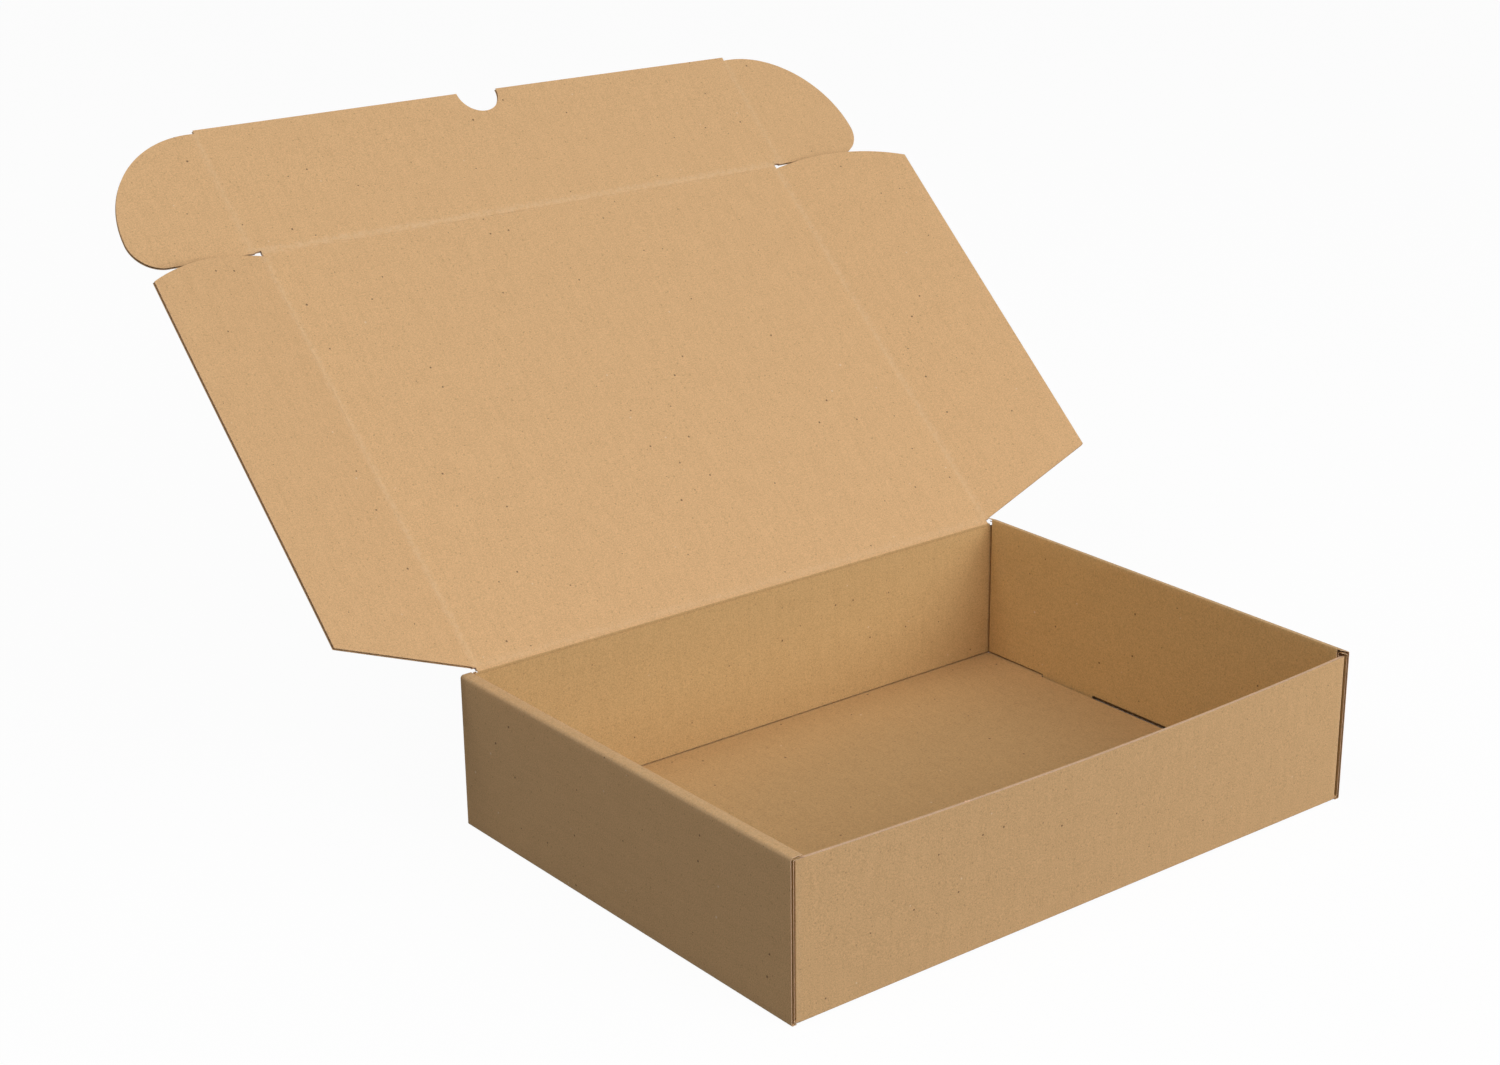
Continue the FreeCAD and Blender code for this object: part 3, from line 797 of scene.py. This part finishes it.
# How strong each fold's pale band is, partly scuffing and partly painted highlight. The tuck's band is
# moved 1.2 mm onto the tuck, a painted highlight on that side of the crease; the hinge's lies 3 mm up the
# lid.
SIDE_SCUFF_SHEEN, EAR_SCUFF_SHEEN, TUCK_SCUFF_SHEEN, HINGE_SCUFF_SHEEN = 0.42, 0.3, 0.5, 0.32
TUCK_SCUFF_SHEEN_AT, HINGE_SCUFF_SHEEN_AT = 1.2, 3.0
lid_scuff_sheen = nearness((0, -SIDE_CREASE, SIDE_SCUFF_SHEEN), (0, SIDE_CREASE, SIDE_SCUFF_SHEEN),
                    (1, TUCK_CREASE + TUCK_SCUFF_SHEEN_AT, TUCK_SCUFF_SHEEN), (1, HINGE_SCUFF_SHEEN_AT, HINGE_SCUFF_SHEEN))
tuck_scuff_sheen = nearness((0, -EAR_CREASE, EAR_SCUFF_SHEEN), (0, EAR_CREASE, EAR_SCUFF_SHEEN), (1, TUCK_SCUFF_SHEEN_AT, TUCK_SCUFF_SHEEN))
side_scuff_sheen = nearness((0, 0.0, SIDE_SCUFF_SHEEN))
ear_scuff_sheen = nearness((0, 0.0, EAR_SCUFF_SHEEN))


# %% Each flat board is two liners and the fluting between them
def flat_board(name, node, body, outline, where, bow, scuff_sheen_map, bends):
    """The inner liner stands in for the CAD node; bends is how finely the fluting bows."""
    place = flat(where, bow)
    front = liner(name + "_inner_face", body, outline, place, 0.0, inside_paper, scuff_sheen_map=scuff_sheen_map)
    liner(name + "_outer_face", body, outline, place, BOARD, outside_paper, scuff_sheen_map=scuff_sheen_map, down=-1)
    fluting(name + "_fluting", body, outline, place, bends=bends)
    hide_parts(node)


flat_board("lid", "lid_panel", "lid", lid_outline, lid_frame, bow_lid, lid_scuff_sheen, 12)
flat_board("tuck", "tuck_flap", "tuck_flap", tuck_outline, tuck_frame, bow_tuck, tuck_scuff_sheen, 12)
for side, hand in ((-1, "left"), (1, "right")):
    flat_board("flap_" + hand, "side_flap_" + hand, "side_flap_" + hand, flap_outlines[side],
               flap_frames[side], bow_flap, side_scuff_sheen, 5)
    shape = ear_outline if side > 0 else mirrored(ear_outline)
    flat_board("ear_" + hand, "tuck_ear_" + hand, "tuck_ear_" + hand, shape, ear_frames[side], bow_ear,
               ear_scuff_sheen, 4)

# %% [markdown]
# ## The tray's middle strip
# One strip of the sheet makes the floor, both side walls, the tops they roll over, the inner
# walls and the tabs that lock them into the floor. It is drawn flat here, with its slots, and
# follows a single path through all six folds.

# %% The middle strip
WALL, LEAF, FOOT, TAB_NEAR, TAB_FAR = 115.0, 112.9, 1.7, 37.0, 72.0
HALF, INNER_WALL, BEHIND_INNER_WALL, TAB_END = 160, 153.8, 155.3, 0.2
SHOULDER, SET_IN = 2.1, 1.9  # how far the leaf stops short of the tabs, and the floor of its folds
FACE_Y, INNER_FACE_Y = 114.6, 112.6  # the end walls' outer faces, and the inner liner's edge
RIGHT_LIFT = 2.5  # the right roll-over stands up at its inner edge
SLOT_PLAY = 0.3
strip_path = [(-INNER_WALL, TAB_END), (-INNER_WALL, HEIGHT), (-HALF, HEIGHT), (-HALF, 0), (HALF, 0),
              (HALF, HEIGHT), (INNER_WALL, HEIGHT + RIGHT_LIFT), (INNER_WALL, TAB_END)]
STRIP_RADII = (1.0, 1.5, BOTTOM_RADIUS, BOTTOM_RADIUS, 0.9, 0.5)
place_strip, strip_folds = folded(strip_path, STRIP_RADII, (0, 2, 1))
place_strip_core = folded(strip_path, STRIP_RADII, (0, 2, 1), least=CORE_RADIUS)[0]
total = strip_folds[-1]
floor_middle = strip_folds[18] + HALF - BOTTOM_RADIUS
print("the strip is", round(total, 1), "mm long, with its floor's middle at", round(floor_middle, 1))


def strip_end(folds, inset, feet, back_leaf):
    """The left end of the strip's outline, from the floor's back edge to its front edge."""
    roll, floor_start = folds[3], folds[18]
    floor_end = floor_start + SET_IN
    wall_front = [(feet[0], -back_leaf), (roll, -back_leaf), (roll, -WALL), (floor_start, -WALL),
                  (floor_end, -WALL), (floor_end, -inset)]
    wall_back = [(floor_end, inset), (floor_end, WALL), (floor_start, WALL), (roll, WALL),
                 (roll, LEAF), (feet[1], LEAF)]
    tabs = [(feet[1], TAB_FAR), (0, TAB_FAR), (0, TAB_NEAR), (SHOULDER, TAB_NEAR),
            (SHOULDER, -TAB_NEAR), (0, -TAB_NEAR), (0, -TAB_FAR), (feet[0], -TAB_FAR)]
    return wall_back + tabs + wall_front


def strip_outline(inset):
    """The outline of the whole strip; the right inner wall sits a little short and high."""
    left_end = strip_end(strip_folds, inset, (FOOT, FOOT), LEAF)
    right_end = strip_end(total - strip_folds[::-1], inset, (FOOT + 0.5, FOOT + 0.7), LEAF - 1.0)
    return left_end + [(total - s, -w) for s, w in right_end]


def slots(grow):
    """The slots in the floor, as loops: two at the left, and at the right one slit for both tabs."""
    out = []
    spans = {-1: [(-TAB_FAR, -TAB_NEAR), (TAB_NEAR, TAB_FAR)], 1: [(-TAB_FAR, TAB_FAR)]}
    for side in (-1, 1):
        lo = floor_middle + (INNER_WALL - grow if side > 0 else -BEHIND_INNER_WALL - grow)
        hi = floor_middle + (BEHIND_INNER_WALL + grow if side > 0 else -INNER_WALL + grow)
        for near, far in spans[side]:
            out.append([(lo, near - grow), (hi, near - grow), (hi, far + grow), (lo, far + grow)])
    return out


def path_scuff_sheen(folds, scuff_sheen_strength=0.3):
    """Scuffing and painted highlight next to the folds of a path, which has six points at each."""
    count = (len(folds) - 2) // 6
    middles = [(folds[1 + 6 * k] + folds[6 + 6 * k]) / 2 for k in range(count)]
    return nearness(*[(0, middle, scuff_sheen_strength) for middle in middles])


strip_scuff_sheen = path_scuff_sheen(strip_folds)
outer = liner("strip_outer_face", "tray", strip_outline(FACE_Y - BOTTOM_RADIUS), place_strip, 0.0,
              side_paper_painted_bounce_tint, slots(SLOT_PLAY), strip_folds, strip_scuff_sheen,
              zone=(outside_paper, strip_folds[3], strip_folds[-4]))
liner("strip_inner_face", "tray", strip_outline(INNER_FACE_Y), place_strip, BOARD, tray_paper_painted_shade,
      slots(SLOT_PLAY), strip_folds, strip_scuff_sheen, down=-1,
      zone=(floor_paper_painted_shade, strip_folds[18], strip_folds[19]))
fluting("strip_fluting", "tray", strip_outline(INNER_FACE_Y), place_strip_core, slots(SLOT_PLAY),
        strip_folds[::2])
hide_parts("tray")

# %% [markdown]
# ## Front and back walls
# Each of these walls turns a corner at both ends and carries on as a corner flap inside the
# double side wall, which traps it. Seen from above it is one path again, and the flutes run
# level along it. The middle of the front wall has nothing to hold it, so its top edge bows out,
# and that edge is crushed shut and has a small flake standing up.

# %% Front and back walls with their corner flaps
FRONT_BOW = 5.4
CORNER_FLAP_FOOT, WALL_TOP, INNER_LINER_FOOT = 2.3, 70.3, 1.9
CORNER_FLAP_X, CORNER_FLAP_END = 156.9, 51.1
FRONT_CORNER_X, SPLAY_END = 157.5, 85  # the front corner flaps splay a little behind the corner
RIM_LOW, RIM_HIGH, RIM_DEPTH, RIM_THICK = 69.7, 70.27, 0.22, 1.06
FLAKE = ((-1.8, 70.1), (1.9, 70.1), (1.2, 70.5), (-1.3, 70.85))
FLAKE_X = -73.5


def bow_front(points):
    """Bulge the front wall outwards, most at the middle of its top edge."""
    x, y, z = points.T
    swell = np.clip(np.cos(np.pi * x / 312), 0, 1) ** 0.85 * np.clip(z / 70, 0, 1) ** 1.4
    y -= FRONT_BOW * swell * (y < -113)
    return points


def end_wall(name, path, radius, top=(), pull=None, nick=None):
    """A wall with a corner flap at each end; top is the middle of its top edge, as (x, z).

    With a nick, at one x, the top edge is crushed shut and a flake of its paper stands up there."""
    place, folds = folded(path, radius, (0, 1, 2), pull)
    place_core = folded(path, radius, (0, 1, 2), pull, CORE_RADIUS)[0]
    half = (len(path) - 2) // 2
    start, stop = folds[6 * half - 5], folds[6 * half + 6]
    centre = (folds[6 * half] + folds[6 * half + 1]) / 2
    foot, end = CORNER_FLAP_FOOT, folds[-1]
    outline = [(0, foot), (start, foot), (start, BOTTOM_RADIUS), (stop, BOTTOM_RADIUS), (stop, foot),
               (end, foot), (end, WALL_TOP)]
    outline += [(centre + x, z) for x, z in top] + [(centre - x, z) for x, z in reversed(top)]
    outline += [(0, WALL_TOP)]
    scuff_sheen_map = path_scuff_sheen(folds)
    liner(name + "_outer_face", "tray", outline, place, 0.0, outside_paper, folds=folds, scuff_sheen_map=scuff_sheen_map)
    raised = [(s, max(w, INNER_LINER_FOOT)) for s, w in outline]
    liner(name + "_inner_face", "tray", raised, place, BOARD, tray_paper_painted_shade, folds=folds, scuff_sheen_map=scuff_sheen_map,
          down=-1)
    columns = sorted([*folds[::2], *(np.linspace(start, stop, 28)[1:-1] if pull else ())])
    fluting(name + "_fluting", "tray", outline, place_core, folds=columns, margin=0.5)
    if nick is not None:
        rim = [(start, RIM_LOW), (stop, RIM_LOW), (stop, RIM_HIGH), (start, RIM_HIGH)]
        liner(name + "_rim", "tray", rim, place, RIM_DEPTH, outside_paper, folds=folds, thick=RIM_THICK)
        flake = [(x + nick + centre, z) for x, z in FLAKE]
        liner(name + "_flake", "tray", flake, place, 0.8, cut_paper, thick=0.3)


end_wall("front_wall", [(-CORNER_FLAP_X, -CORNER_FLAP_END), (-CORNER_FLAP_X, -SPLAY_END),
                        (-FRONT_CORNER_X, -FACE_Y), (FRONT_CORNER_X, -FACE_Y),
                        (CORNER_FLAP_X, -SPLAY_END), (CORNER_FLAP_X, -CORNER_FLAP_END)],
         0.5, pull=bow_front, nick=FLAKE_X)
end_wall("back_wall", [(CORNER_FLAP_X, CORNER_FLAP_END), (CORNER_FLAP_X, FACE_Y),
                       (-CORNER_FLAP_X, FACE_Y), (-CORNER_FLAP_X, CORNER_FLAP_END)],
         1.5, top=[(153.7, WALL_TOP), (153.7, 71.9), (SIDE_CREASE, 71.9), (SIDE_CREASE, 69.9)])

# %% [markdown]
# ## Rounded bottom folds
# The front and back walls meet the floor in a rounded fold: a quarter of a small circle that
# starts and ends flush with its neighbours.

# %% Bottom folds
FOLD_HALF_LENGTH, BESIDE_FOLD = 155.4, 113.0
for name, path in (("front_bottom_fold", [(-FACE_Y, CRUSH), (-FACE_Y, 0), (-BESIDE_FOLD, 0)]),
                   ("back_bottom_fold", [(BESIDE_FOLD, 0), (FACE_Y, 0), (FACE_Y, CRUSH)])):
    place, folds = folded(path, BOTTOM_RADIUS, (1, 2, 0))
    lo, hi, far = folds[1], folds[-2], FOLD_HALF_LENGTH
    liner(name, "tray", [(lo, -far), (hi, -far), (hi, far), (lo, far)], place, 0.0,
          outside_paper, folds=folds[2:-2], scuff_sheen_map=path_scuff_sheen(folds))

# %% [markdown]
# ## Creases
# A crease is where the rule of the press crushed the flutes, so the board is thin, soft and
# scuffed there, and its pale band is partly that scuffing and partly a painted highlight. Each is
# a solid strip, its shape blended between the two boards it joins, as they stand.

# %% Crease strips
COLUMNS, ROW_STEP = 17, 2.5
GROOVE_HALF, LIP_AT, LIP_HALF, LIP_SHARE = 0.6, 1.1, 0.35, 0.2  # a groove between two low lips


def smooth(t):
    """From 0 to 1, with level ends."""
    t = np.clip(t, 0, 1)
    return t * t * (3 - 2 * t)


def crease(name, body_a, body_b, place_a, place_b, run, outer_depth, groove=0.14, ease=0.7, seed=0,
           reach_a=CRUSH, reach_b=CRUSH, scuff_sheen_strength=SIDE_SCUFF_SHEEN, scuff_sheen_at=0.0,
           papers=((-math.inf, inside_paper),)):
    """A strip across a crease. place_a and place_b take (q, w, depth), with q across the crease.

    The groove wanders a little and changes in depth, by the seed. The papers are (q, paper):
    each one starts at its q and ends at the next."""
    wobble = np.random.default_rng(seed)
    q = np.linspace(-reach_a, reach_b, COLUMNS)
    w = np.linspace(run[0], run[1], max(3, int((run[1] - run[0]) / ROW_STEP)))
    wave = np.interp(w, np.linspace(*run, 24), wobble.normal(0, 0.10, 24))
    dent = np.interp(w, np.linspace(*run, 40), wobble.uniform(0.6, 1.25, 40))
    grid_q, grid_w = np.meshgrid(q, w)
    shift = grid_q - wave[:, None] * np.cos(np.clip(grid_q / reach_a, -1, 1) * np.pi / 2)
    fade = np.clip((reach_b - np.abs(grid_q)) / 0.25, 0, 1)
    lips = LIP_SHARE * np.exp(-((np.abs(shift) - LIP_AT) / LIP_HALF) ** 2)
    sink = groove * dent[:, None] * (np.exp(-(shift / GROOVE_HALF) ** 2) - lips) * fade
    deep = outer_depth(grid_q)
    # Nearness to the pale band's line, which is scuffing and painted highlight.
    near = np.clip(1 - np.abs(grid_q.ravel() - scuff_sheen_at) / SCUFF_SHEEN_REACH, 0, 1)
    share = smooth((grid_q + ease) / (2 * ease)).ravel()[:, None]

    def both(depth):
        flat_q, flat_w, flat_d = grid_q.ravel(), grid_w.ravel(), depth.ravel()
        return (1 - share) * place_a(flat_q, flat_w, flat_d) + share * place_b(flat_q, flat_w, flat_d)

    rows, columns = grid_q.shape
    points = np.vstack([both(sink), both(deep)])
    count = rows * columns
    index = np.arange(count).reshape(rows, columns)
    faces, slots = [], []
    own = np.searchsorted([start for start, _ in papers], (q[:-1] + q[1:]) / 2)
    for i in range(rows - 1):
        for j in range(columns - 1):
            a, b, c, d = index[i, j], index[i, j + 1], index[i + 1, j + 1], index[i + 1, j]
            faces += [(a, b, c, d), (a + count, d + count, c + count, b + count)]
            slots += [own[j]] * 2
    ring = list(index[0, :]) + list(index[1:, -1]) + list(index[-1, -2::-1]) + list(index[-2:0:-1, 0])
    for a, b in zip(ring, ring[1:] + ring[:1]):
        faces.append((b, a, a + count, b + count))
        slots.append(0)
    uv = np.column_stack([grid_w.ravel(), grid_q.ravel()])
    finishes = [cut_paper] + [paper for _, paper in papers]
    obj = build(name, points, faces, np.vstack([uv, uv]), finishes, slots,
                (np.tile(near, 2), np.full(2 * count, scuff_sheen_strength)), sharp=35)
    middle = (run[0] + run[1]) / 2
    first = place_a(np.array([-ease]), np.array([middle]), np.array([0.0]))[0] * MM
    last = place_b(np.array([ease]), np.array([middle]), np.array([0.0]))[0] * MM
    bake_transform(obj)
    print(name, len(faces), "faces, from", body_a, "to", body_b)
    return obj


def full_depth(q):
    return np.full(q.shape, BOARD)


def seen_from(where, side=0, along=0.0):
    """(q, w, depth) on a board: across a side crease, or across the tuck crease when side is 0."""
    base = flat(where)
    if side:
        return lambda q, w, d: base(side * q + along, w, d)
    return lambda q, w, d: base(w, q + along, d)


SIDE_CREASE_END = 229.5
for side, hand, seed in ((-1, "left", 3), (1, "right", 4)):
    crease("side_crease_" + hand, "lid", "side_flap_" + hand,
           seen_from(lid_frame, side, side * SIDE_CREASE), seen_from(flap_frames[side], side),
           (ROOT, SIDE_CREASE_END), full_depth, seed=seed)
    crease("ear_crease_" + hand, "tuck_flap", "tuck_ear_" + hand,
           seen_from(tuck_frame, side, side * EAR_CREASE), seen_from(ear_frames[side], side),
           (EAR_FOOT, EAR_END), full_depth, seed=seed + 10, scuff_sheen_strength=EAR_SCUFF_SHEEN)
crease("tuck_crease", "lid", "tuck_flap", seen_from(lid_frame, 0, TUCK_CREASE), seen_from(tuck_frame),
       (-SIDE_CREASE, SIDE_CREASE), full_depth, groove=0.22, seed=7, scuff_sheen_strength=TUCK_SCUFF_SHEEN, scuff_sheen_at=TUCK_SCUFF_SHEEN_AT)

# %% The lid's hinge, crushed from outside so that the lid can lie right back
wall_frame = Matrix.Translation((0, HINGE_Y, HINGE_Z)) @ leaning(90, "X")
THINNEST, THIN_HALF = 0.3, 0.1
BELOW_HINGE, ABOVE_HINGE, PAINTED_SHADE_BAND = 2.3, 2.4, 1.4


def hinge_depth(q):
    """The board's thickness across the hinge: thinnest on the fold, and full again beside it."""
    return np.clip(THINNEST + (np.abs(q) - THIN_HALF), THINNEST, BOARD)


# Under the fold line the hinge has the tray's paper, and for 1.4 mm just below it a darker paper: painted
# shade in the fold.
crease("lid_hinge", "tray", "lid", seen_from(wall_frame), seen_from(lid_frame),
       (-SIDE_CREASE, SIDE_CREASE), hinge_depth, groove=0.16, ease=1.2, seed=9,
       reach_a=BELOW_HINGE, reach_b=ABOVE_HINGE, scuff_sheen_strength=HINGE_SCUFF_SHEEN, scuff_sheen_at=HINGE_SCUFF_SHEEN_AT,
       papers=((-math.inf, tray_paper_painted_shade), (-PAINTED_SHADE_BAND, hinge_paper_painted_shade), (0.0, inside_paper)))

# %% [markdown]
# ## The studio
# The photograph has a pure white background. Its light comes from large, soft boxes: a low one
# in front, and weaker ones at the right and at the upper left. The floor is white to the camera
# and to reflections, keeps a faint shadow, and sends little light back up. Under the box it is
# dark, so that the slots in the tray's floor are dark too.

# %% The floor
DARK, WHITE = (0.15, 0.15, 0.15), (0.98, 0.98, 0.98)
GLOW_SHARE = 0.96
UNDER_BOX = (0.1585, 0.1135)  # half the dark patch, just inside the box's foot, in metres
bpy.ops.mesh.primitive_plane_add(size=12, location=(0, 0, -0.0005))
floor = bpy.context.object
floor.name = "studio_floor"
paint = bpy.data.materials.new("studio_floor")
paint.use_nodes = True
tree = paint.node_tree
shader = tree.nodes["Principled BSDF"]
rays = tree.nodes.new("ShaderNodeLightPath")
tree.links.new(mix_colour(tree, rays.outputs["Is Camera Ray"], DARK, WHITE), shader.inputs["Base Color"])
shader.inputs["Roughness"].default_value = 0.9
glow = tree.nodes.new("ShaderNodeEmission")
blend_in = tree.nodes.new("ShaderNodeMixShader")
spot = tree.nodes.new("ShaderNodeSeparateXYZ")
tree.links.new(tree.nodes.new("ShaderNodeTexCoord").outputs["Object"], spot.inputs[0])
outside = [maths(tree, "GREATER_THAN", maths(tree, "ABSOLUTE", spot.outputs[i]), half)
           for i, half in enumerate(UNDER_BOX)]
shown = maths(tree, "ADD", rays.outputs["Is Camera Ray"], rays.outputs["Is Glossy Ray"], clamp=True)
shown = maths(tree, "MULTIPLY", shown, maths(tree, "MAXIMUM", *outside))
share = maths(tree, "MULTIPLY", shown, GLOW_SHARE)
tree.links.new(share, blend_in.inputs[0])
tree.links.new(shader.outputs[0], blend_in.inputs[1])
tree.links.new(glow.outputs[0], blend_in.inputs[2])
tree.links.new(blend_in.outputs[0], tree.nodes["Material Output"].inputs[0])
floor.data.materials.append(paint)
print("a white floor, dark under the box")

# %% The surround: dim as a lamp, white to the eye
SKY_STRENGTH = 0.115
world = bpy.data.worlds.new("studio")
scene.world = world
world.use_nodes = True
tree = world.node_tree
sky = tree.nodes["Background"]
sky.inputs["Strength"].default_value = SKY_STRENGTH
white = tree.nodes.new("ShaderNodeBackground")
white.inputs["Color"].default_value = (1, 1, 1, 1)
sky.inputs["Color"].default_value = (1, 1, 1, 1)
rays = tree.nodes.new("ShaderNodeLightPath")
swap = tree.nodes.new("ShaderNodeMixShader")
seen = maths(tree, "ADD", rays.outputs["Is Camera Ray"], rays.outputs["Is Glossy Ray"])
seen = maths(tree, "ADD", seen, rays.outputs["Is Transmission Ray"], clamp=True)
tree.links.new(seen, swap.inputs[0])
tree.links.new(sky.outputs[0], swap.inputs[1])
tree.links.new(white.outputs[0], swap.inputs[2])
tree.links.new(swap.outputs[0], tree.nodes["World Output"].inputs[0])
print("world", world.name, "has", len(tree.nodes), "nodes")


# %% The lamps
def softbox(name, place, target, size, power):
    """A square area lamp, in metres and watts."""
    lamp = bpy.data.lights.new(name, "AREA")
    lamp.size = size
    lamp.energy = power
    obj = bpy.data.objects.new(name, lamp)
    obj.location = place
    obj.rotation_euler = (Vector(target) - Vector(place)).to_track_quat("-Z", "Y").to_euler()
    scene.collection.objects.link(obj)
    return obj


BOX_MIDDLE, SOFTBOX_SIZE = (0, 0, 0.1), 1.3
softbox("front", (0.38, -2.0, 1.0), BOX_MIDDLE, SOFTBOX_SIZE, 30)
softbox("right", (1.5, -1.4, 1.3), BOX_MIDDLE, SOFTBOX_SIZE, 9)
softbox("upper_left", (-1.25, 0.1, 1.9), BOX_MIDDLE, SOFTBOX_SIZE, 17)
print("three softboxes and a dim white surround")
